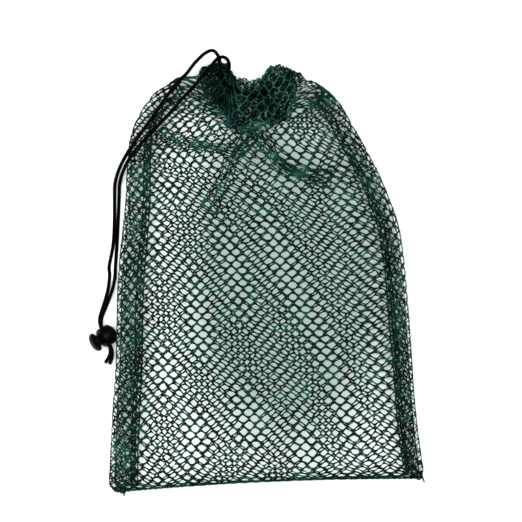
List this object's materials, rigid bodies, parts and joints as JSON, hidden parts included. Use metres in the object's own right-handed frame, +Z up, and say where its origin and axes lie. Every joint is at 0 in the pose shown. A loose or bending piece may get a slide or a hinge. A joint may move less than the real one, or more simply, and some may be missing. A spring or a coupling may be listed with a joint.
{
  "type": "mesh stuff sack",
  "caption": "Flat drawstring stuff sack of open green net, folded at the base, with a gathered hem, side seams, a black cord and a spring cord lock.",
  "frame": {"origin": "on the table under the middle of the lying sack", "axes": "+Y from the folded base to the mouth, +X across to the sack's right as seen from above, +Z up from the table"},
  "size_m": [0.2684, 0.3535, 0.0414],
  "materials": {
    "net": "dark green knitted polyester net",
    "seam": "bunched net edges, overlocked in dark green thread",
    "cord": "black braided cord",
    "lock": "black moulded nylon with a slight sheen"
  },
  "bodies": {
    "sack": {"net_body": "net", "hem_casing": "net", "left_seam": "seam", "right_seam": "seam", "cord_in_hem": "cord", "cord_end_over": "cord", "cord_end_under": "cord", "lock_barrel": "lock"},
    "plunger": {"lock_plunger": "lock"}
  },
  "joints": [
    {"name": "plunger_press", "type": "slide", "parent": "sack", "child": "plunger", "axis": [0.803, 0.4636, -0.3746], "range_m": [0, 0.0035], "stiffness_N_per_m": 300, "springref_m": -0.004}
  ]
}
